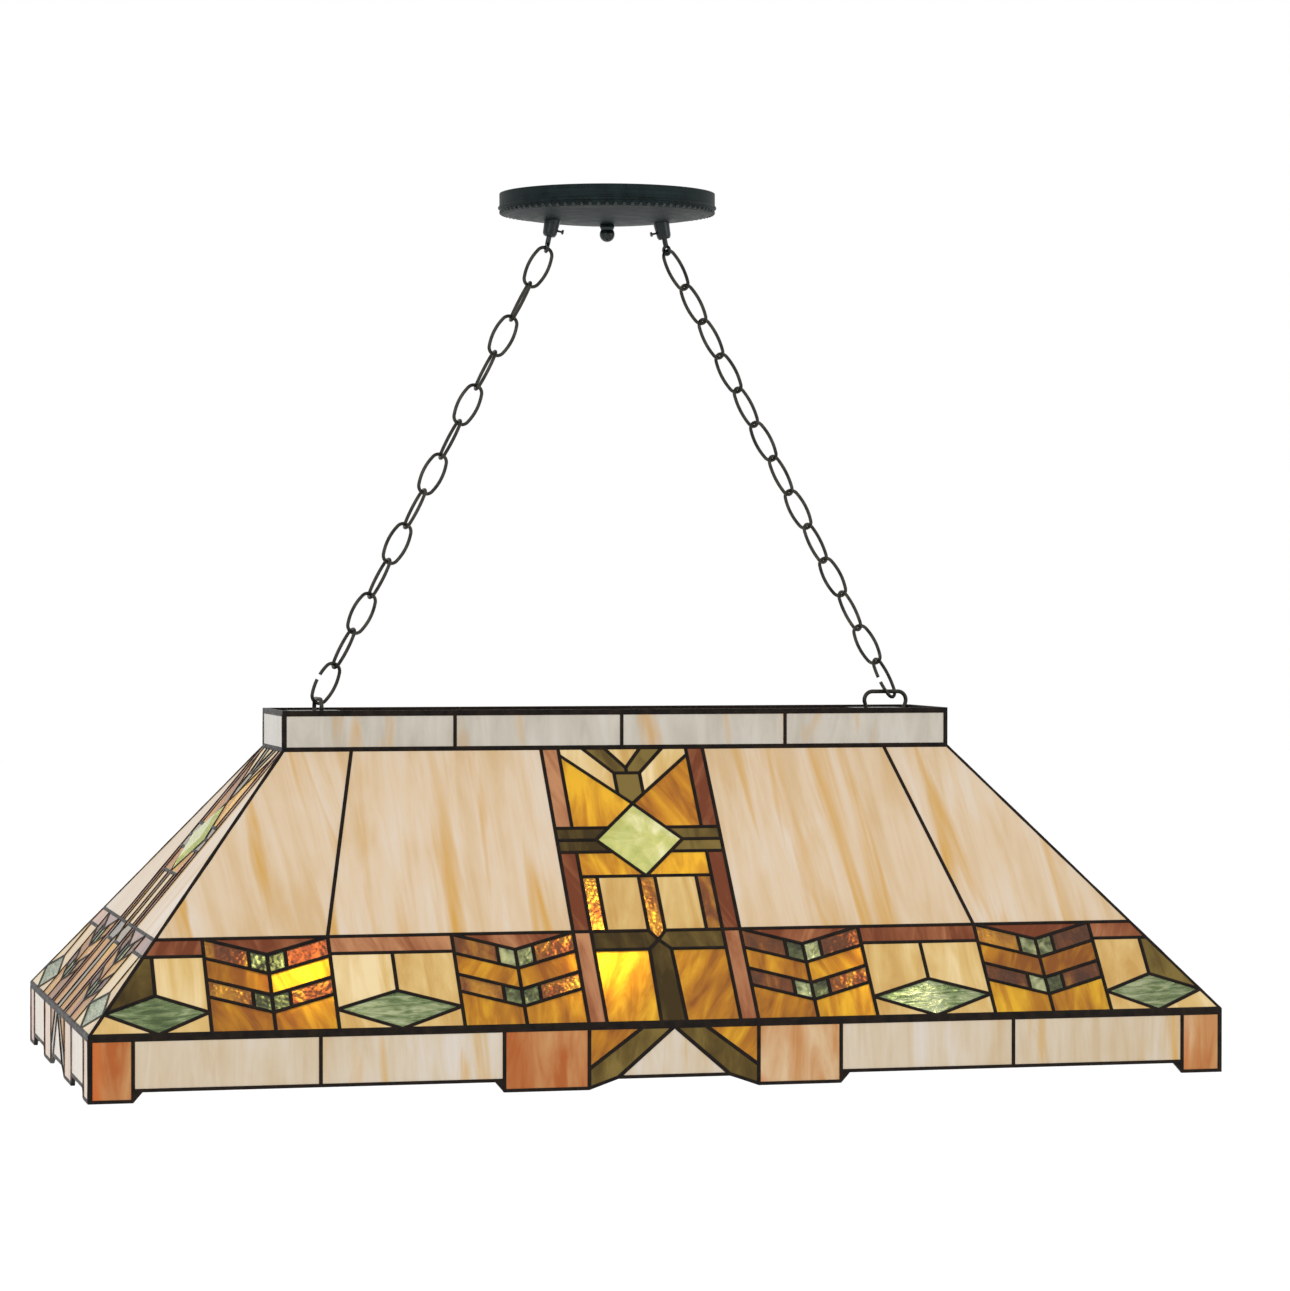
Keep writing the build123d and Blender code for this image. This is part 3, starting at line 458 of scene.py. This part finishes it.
def crown_panes(half, count):
    """Upright panes of the crown."""
    stops = np.linspace(-half + 2.3, half - 2.3, count + 1)
    return [("crown", [(a, FOOT), (b, FOOT), (b, CROWN - 3.4), (a, CROWN - 3.4)]) for a,
            b in zip(stops, stops[1:])]


def quarter(points, turns):
    """Points turned about the lamp's upright axis by quarter turns."""
    c, s = [(1, 0), (0, 1), (-1, 0), (0, -1)][turns]
    return np.stack([c * points[..., 0] - s * points[..., 1], s * points[..., 0] + c * points[..., 1],
                     points[..., 2]], axis=-1)


class Sheet:
    """One flat side of the shade: place(u, v, depth) gives points, depth counted inwards from the
    outer face."""

    def __init__(self, out, low, run, rise, turns, panes, name):
        length = math.hypot(run, rise)
        self.origin = np.array([0.0, -out, low])
        self.up = np.array([0.0, run, rise]) / length
        self.inward = np.array([0.0, rise, -run]) / length
        self.turns, self.panes, self.name = turns, panes, name

    def place(self, u, v, depth):
        points = (self.origin + np.asarray(u)[..., None] * np.array([1.0, 0, 0])
                  + np.asarray(v)[..., None] * self.up + np.asarray(depth)[..., None] * self.inward)
        return quarter(points, self.turns)


sheets = []
for turns, place in enumerate(("front", "right", "back", "left")):
    long_side = turns % 2 == 0
    half, out = (HALF_LENGTH, HALF_WIDTH) if long_side else (HALF_WIDTH, HALF_LENGTH)
    crown_halves = (CROWN_HALF_LENGTH, CROWN_HALF_WIDTH)
    top_half, top_out = crown_halves if long_side else crown_halves[::-1]
    centre, block, joints, count = (76.0, 75.0, 2, 4) if long_side else (CROWN_HALF_WIDTH, 59.0, 1, 1)
    sheets += [
        Sheet(out, ROOF_FOOT, RUN, RISE, turns, roof_panes(half, top_half, long_side), "roof_" + place),
        Sheet(out, ROOF_FOOT, 0, 1, turns, skirt_panes(half, centre, block, joints), "skirt_" + place),
        Sheet(top_out, CROWN_FOOT, 0, 1, turns, crown_panes(top_half, count), "crown_" + place),
    ]


# ---- panes ----
def inset(outline, distance):
    """Outline with every edge moved inwards: each corner is where its two moved edges cross."""
    corners = np.array(outline, float)
    ahead = np.roll(corners, -1, axis=0)
    if (corners[:, 0] * ahead[:, 1] - ahead[:, 0] * corners[:, 1]).sum() < 0:
        corners = corners[::-1]
        ahead = np.roll(corners, -1, axis=0)
    run = ahead - corners
    normal = np.stack([-run[:, 1], run[:, 0]], axis=1) / np.linalg.norm(run, axis=1)[:, None]
    offset = (normal * corners).sum(axis=1) + distance
    before, back = np.roll(normal, 1, axis=0), np.roll(offset, 1)
    det = before[:, 0] * normal[:, 1] - before[:, 1] * normal[:, 0]
    return np.stack([(back * normal[:, 1] - offset * before[:, 1]) / det,
                     (before[:, 0] * offset - normal[:, 0] * back) / det], axis=1)


def along(corners, parts):
    """Points round a closed outline, the same number on every edge."""
    share = np.arange(parts)[:, None] / parts
    ahead = np.roll(corners, -1, axis=0)
    return (corners[:, None] + (ahead - corners)[:, None] * share).reshape(-1, 2)


def middle_of(outline):
    """A point well inside the outline."""
    return (outline.max(axis=0) + outline.min(axis=0)) / 2 if len(outline) == 4 else outline.mean(axis=0)


def pane_block(sheet, outline, profile, parts, rng, streak_turn):
    """A pane over its outline. The profile is a list of (share of the way out from the middle, depth in
    mm), from the back's middle round the rim to the front's middle."""
    edge = along(inset(outline, LINE / 2), parts)
    middle = middle_of(edge)
    share = np.array([step[0] for step in profile])[:, None, None]
    flat = middle + (edge - middle) * share
    depth = np.broadcast_to(np.array([step[1] for step in profile])[:, None], flat.shape[:2])
    rings = sheet.place(flat[..., 0], flat[..., 1], depth)
    points, quads, tris = sweep_rings(rings)
    slide = rng.uniform(0, 5, 2)
    turn = streak_turn + rng.normal(0, 0.06)
    c, s = math.cos(turn), math.sin(turn)
    flat_all = np.vstack([flat.reshape(-1, 2), flat[0].mean(axis=0), flat[-1].mean(axis=0)]) * MM
    uv = flat_all @ np.array([[c, s], [-s, c]]) + slide
    tone = np.tile(rng.uniform(0, 1, 3), (len(points), 1))
    return points, quads, tris, {"sheet": uv, "tone": tone}


BACK, FRONT = (LEAD + GLASS) / 2, (LEAD - GLASS) / 2
FLAT_PANE = [(0.3, BACK), (1.0, BACK), (1.0, FRONT), (0.3, FRONT)]
BEVELLED = [(0.3, BACK + 2.6), (0.70, BACK + 2.6), (0.72, BACK + 2.5), (1.0, BACK), (1.0, FRONT),
            (0.72, FRONT - 2.5),
            (0.70, FRONT - 2.6), (0.3, FRONT - 2.6)]

glasses = {
    "cream": art_glass("cream_streaky_glass", tint(204, 174, 132), tint(213, 190, 160), tint(216, 202, 184),
                       wisp=(tint(202, 156, 78), 0.555, 0.70), stretch=(5, 62), near=0.05,
                       glow_colour=tint(255, 186, 122)),
    "tan": art_glass("tan_opal_glass", tint(196, 154, 88), tint(213, 180, 116), tint(232, 208, 160),
                     stretch=(9, 44), near=0.05, contrast=(0.36, 0.64), tone=0.12),
    "crown": art_glass("crown_streaky_glass", tint(180, 172, 158), tint(196, 189, 176), tint(208, 202, 192),
                       wisp=(tint(202, 160, 98), 0.60, 0.74), stretch=(9, 44), near=0.0),
    "skirt": art_glass("skirt_streaky_glass", tint(196, 174, 142), tint(204, 188, 164), tint(210, 200, 188),
                       wisp=(tint(202, 158, 84), 0.56, 0.70), stretch=(8, 64), near=0.02),
    "amber": art_glass("amber_cathedral_glass", tint(150, 86, 8), tint(198, 134, 14), tint(238, 188, 34),
                       stretch=(13, 70), near=0.20, clear=0.45, rough=0.3, relief=("wavy", 0.5), tone=0.16,
                       contrast=(0.36, 0.64)),
    # Painted glints: the bright orange streaks of the palest colour stand for light catching the hammered
    # face, over the glass's own brown streaks.
    "copper": art_glass("hammered_copper_glass", tint(72, 30, 14), tint(122, 62, 20), tint(214, 158, 44),
                        stretch=(24, 60), near=0.14, clear=0.65, rough=0.3, relief=("hammered", 0.5),
                        tone=0.16,
                        contrast=(0.40, 0.66), glow_colour=tint(222, 150, 34)),
    "burgundy": art_glass("burgundy_glass", tint(112, 58, 34), tint(148, 90, 58), tint(186, 132, 92),
                          stretch=(10, 60), near=0.05, tone=0.3, contrast=(0.36, 0.66)),
    "olive": art_glass("olive_glass", tint(62, 48, 20), tint(92, 74, 34), tint(124, 104, 52),
                       stretch=(14, 44),
                       near=0.02, tone=0.3),
    # Painted glints: the pale, long stretched streak lines stand for light glancing off the ripples, over
    # the glass's own green streaks.
    "green": art_glass("green_ripple_glass", tint(84, 104, 58), tint(126, 146, 94), tint(196, 206, 160),
                       stretch=(230, 40), near=0.08, clear=0.5, rough=0.25, relief=("ripple", 1.0),
                       contrast=(0.40, 0.62)),
    # Painted glints: the near-white flecks of the palest colour stand for light sparkling off the hammered
    # face, over the glass's own mottled green.
    "mint": art_glass("mint_hammered_glass", tint(58, 62, 34), tint(104, 116, 70), tint(206, 216, 164),
                      stretch=(110, 110), near=0.16, clear=0.7, rough=0.3, relief=("hammered", 0.5),
                      contrast=(0.38, 0.66), tone=0.2),
    "jewel": art_glass("bevelled_green_glass", tint(176, 186, 98), tint(214, 214, 136), tint(246, 242, 190),
                       stretch=(34, 38), near=0.14, clear=0.35, rough=0.1, relief=("wavy", 0.3),
                       contrast=(0.38, 0.62)),
    "caramel": art_glass("caramel_streaky_glass", tint(168, 92, 44), tint(190, 138, 88),
                         tint(208, 178, 140),
                         wisp=(tint(190, 96, 40), 0.56, 0.70), stretch=(8, 40), near=0.02, tone=0.2),
}
rng = np.random.default_rng(7)
for glass, material in glasses.items():
    blocks = []
    for sheet in sheets:
        for kind, outline in sheet.panes:
            if kind == glass:
                profile = BEVELLED if glass == "jewel" else FLAT_PANE
                turn = rng.choice([0.0, 0.5, -0.4]) if glass in ("amber", "burgundy") else 0.0
                blocks.append(pane_block(sheet, outline, profile, 2, rng, turn))
    build(glass + "_panes", blocks, material, "shade", [glass + "_glass"], smooth=False)


# ---- solder lines ----
def merged_lines(panes):
    """Every pane edge once: edges on one line that touch or overlap become one longer line."""
    lines = {}
    for _, outline in panes:
        corners = np.array(outline, float)
        for a, b in zip(corners, np.roll(corners, -1, axis=0)):
            way = (b - a) / np.linalg.norm(b - a)
            way = -way if way[0] < -1e-6 or (abs(way[0]) < 1e-6 and way[1] < 0) else way
            normal = np.array([-way[1], way[0]])
            key = (round(math.degrees(math.atan2(way[1], way[0])) * 2), round(float(normal @ a)))
            lines.setdefault(key, []).append((*sorted((float(way @ a), float(way @ b))), way, normal,
                                              float(normal @ a)))
    found = []
    for spans in lines.values():
        spans.sort(key=lambda span: span[0])
        low, high, way, normal, offset = spans[0]
        for span in spans[1:]:
            if span[0] <= high + 1.5:
                high = max(high, span[1])
            else:
                found.append((way * low + normal * offset, way * high + normal * offset))
                low, high, way, normal, offset = span
        found.append((way * low + normal * offset, way * high + normal * offset))
    return found


def bead_block(start, end, place, half_width, half_depth, rng, sides=10, step=7.0):
    """A run of solder: an ellipse carried along a straight line, its width wandering by a sum of three
    sines and its ends rounded off as a quarter ellipse. place(u, v, depth) puts it on a sheet."""
    length = float(np.linalg.norm(end - start))
    way = (end - start) / length
    cross = np.array([-way[1], way[0]])
    inner = np.linspace(0, length, max(2, int(length / step)) + 1)
    tips = half_width * np.array([0.25, 0.7])
    travel = np.concatenate([[-half_width], -half_width + tips, inner, length + half_width - tips[::-1],
                             [length + half_width]])
    past = np.clip(np.maximum(-travel, travel - length) / half_width, 0, 0.999)
    swell = np.sqrt(1 - past ** 2)
    phase = rng.uniform(0, 6.28, 3)
    sines = (np.sin(travel / 4.1 + phase[0]) + np.sin(travel / 9.7 + phase[1])
             + np.sin(travel / 23 + phase[2]))
    wander = 1 + 0.05 * sines
    turn = np.linspace(0, 2 * math.pi, sides, endpoint=False)
    across = np.cos(turn)[None, :] * (half_width * swell * wander)[:, None]
    deep = LEAD / 2 - np.sin(turn)[None, :] * (half_depth * swell * (0.5 + 0.5 * wander))[:, None]
    flat = start + way * travel[:, None]
    u = flat[:, None, 0] + cross[0] * across
    v = flat[:, None, 1] + cross[1] * across
    return sweep_rings(place(u, v, deep))


patina = dark_metal("solder_patina", srgb(9, 7, 6), srgb(34, 24, 16), rough=(0.36, 0.55), metallic=0.2,
                    dents=0.3,
                    sheen=0.12)
rng = np.random.default_rng(11)
for sheet in sheets:
    lines = merged_lines(sheet.panes)
    blocks = [bead_block(a, b, sheet.place, 1.4, 2.15, rng) for a, b in lines]
    build(sheet.name + "_solder", blocks, patina, "shade")

for name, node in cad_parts.items():
    if name.endswith("_lead"):
        node.data.materials.clear()
        node.data.materials.append(patina)


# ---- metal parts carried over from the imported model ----
bronze = dark_metal("blackened_bronze", srgb(26, 26, 23), srgb(62, 60, 52), rough=(0.3, 0.5), metallic=0.75)
spun = dark_metal("brushed_blackened_canopy", srgb(3, 9, 11), srgb(27, 40, 40), rough=(0.45, 0.65),
                  brushed=(12, 12, 1500), metallic=0.15, dents=0.25, sheen=0.1)
cast = dark_metal("blackened_cast_fitting", srgb(4, 11, 13), srgb(26, 38, 38), rough=(0.16, 0.3),
                  metallic=0.25,
                  sheen=0.4)
steel = plain_metal("zinc_plated_steel", srgb(190, 188, 182), 0.34)
holder = Graph("black_lampholder_shell")
speck = holder.noise(holder.where(), 240.0, detail=3)
holder.set(Base_Color=holder.ramp(speck, [(0.3, srgb(24, 22, 20)), (0.7, srgb(40, 37, 34))]),
           Roughness=holder.span(speck, 0.3, 0.7, 0.3, 0.42))
holder.bump(speck, 0.05, 0.0003)
cap = plain_metal("bulb_cap_metal", srgb(205, 200, 186), 0.3)
frosted = Graph("lit_frosted_bulb")
frost = frosted.noise(frosted.where(), 160.0, detail=3)
frosted.set(Base_Color=frosted.ramp(frost, [(0.3, (0.9, 0.86, 0.78)), (0.7, (0.96, 0.93, 0.87))]),
            Emission_Color=frosted.ramp(frost, [(0.3, (1.0, 0.82, 0.55)), (0.7, (1.0, 0.87, 0.64))]),
            Emission_Strength=34.0, Roughness=0.5)
finishes = {
    "ceiling_crossbar": steel, "ground_screw": steel, "pipe_locknut": steel, "canopy_pipe": steel,
    "lamp_pipes": steel, "lamp_pipe_nuts": steel, "swivel_locknuts": steel, "bulb_caps": cap,
    "canopy_pan": spun, "finial_knob": cast, "left_swivel_cup": cast, "right_swivel_cup": cast,
    "left_swivel": cast, "right_swivel": cast, "left_clamp_screw": cast, "right_clamp_screw": cast,
}
for name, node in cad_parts.items():
    if name.endswith("_lead") or name.endswith("_glass"):
        continue
    finish = finishes.get(name, bronze)
    if name.endswith("lampholder"):
        finish = holder.material
    if name.endswith("_bulb"):
        finish = frosted.material
    node.data.materials.clear()
    node.data.materials.append(finish)


# ---- row of beads round the canopy ----
def bead_ring(count, ring, height, radius, steps=10, rows=7):
    """Small balls round the Z axis: ball k stands at angle 2 pi k / count, each skinned from rings of
    latitude."""
    tilt = np.linspace(0.12, math.pi - 0.12, rows)[:, None]
    turn = np.linspace(0, 2 * math.pi, steps, endpoint=False)[None, :]
    ball = radius * np.stack([np.sin(tilt) * np.cos(turn), np.sin(tilt) * np.sin(turn),
                              -np.cos(tilt) * np.ones_like(turn)], axis=-1)
    points, quads, tris = sweep_rings(ball)
    around = 2 * math.pi * np.arange(count) / count
    stands = [np.array([ring * math.cos(a), ring * math.sin(a), height]) for a in around]
    return [(points + stand, quads, tris) for stand in stands]


canopy_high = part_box("canopy_pan")[1]
bead_ring_radius = canopy_high[0] / MM - BEAD_INSET
build("canopy_beads", bead_ring(BEAD_COUNT, bead_ring_radius, BEAD_HEIGHT, BEAD_RADIUS), cast, "canopy")


# ---- stage, light and camera ----
def floor_and_light():
    """A pale floor well below the lamp, even white surroundings and two large soft lights."""
    mesh = bpy.data.meshes.new("floor")
    mesh.from_pydata([(-30, -30, -1.7), (30, -30, -1.7), (30, 30, -1.7), (-30, 30, -1.7)], [],
                     [(0, 1, 2, 3)])
    ground = bpy.data.objects.new("floor", mesh)
    bpy.context.scene.collection.objects.link(ground)
    pale = Graph("pale_floor")
    pale.set(Base_Color=(0.93, 0.93, 0.93, 1.0), Roughness=0.9, Emission_Color=(1.0, 1.0, 1.0, 1.0),
             Emission_Strength=0.09)
    mesh.materials.append(pale.material)
    world = bpy.data.worlds.new("studio")
    world.use_nodes = True
    world.node_tree.nodes["Background"].inputs[0].default_value = (1.0, 1.0, 1.0, 1.0)
    world.node_tree.nodes["Background"].inputs[1].default_value = 1.0
    bpy.context.scene.world = world
    for name, place, size, power in (("key", (-2.2, -3.2, 1.6), 2.4, 60),
                                     ("fill", (3.0, -2.6, 0.4), 2.0, 25)):
        light = bpy.data.lights.new(name, "AREA")
        light.size, light.energy = size, power
        lamp = bpy.data.objects.new(name, light)
        lamp.location = place
        back = np.array(place) - np.array([0.0, 0.0, -0.5])
        lamp.rotation_mode = "QUATERNION"
        lamp.rotation_quaternion = Vector(tuple(-back)).to_track_quat("-Z", "Y")
        bpy.context.scene.collection.objects.link(lamp)


def camera(place, heading, pitch, roll, lens):
    """A camera from its place in metres, its heading from +Y towards +X, pitch and roll, and its lens."""
    ahead = np.array([math.sin(heading) * math.cos(pitch), math.cos(heading) * math.cos(pitch),
                      math.sin(pitch)])
    right = np.array([math.cos(heading), -math.sin(heading), 0.0])
    up = np.cross(right, ahead)
    side = math.cos(roll) * right + math.sin(roll) * up
    top = -math.sin(roll) * right + math.cos(roll) * up
    data = bpy.data.cameras.new("camera")
    data.lens = lens
    data.sensor_width = 36.0
    data.clip_end = 100.0
    view = bpy.data.objects.new("camera", data)
    view.matrix_world = Matrix(((side[0], top[0], -ahead[0], place[0]),
                                (side[1], top[1], -ahead[1], place[1]),
                                (side[2], top[2], -ahead[2], place[2]), (0, 0, 0, 1)))
    bpy.context.scene.collection.objects.link(view)
    bpy.context.scene.camera = view


floor_and_light()
camera((-0.87448, -3.64543, -0.38017), 0.2449, -0.0102, 0.0009, 112.55)
bpy.context.scene.view_settings.view_transform = "Standard"
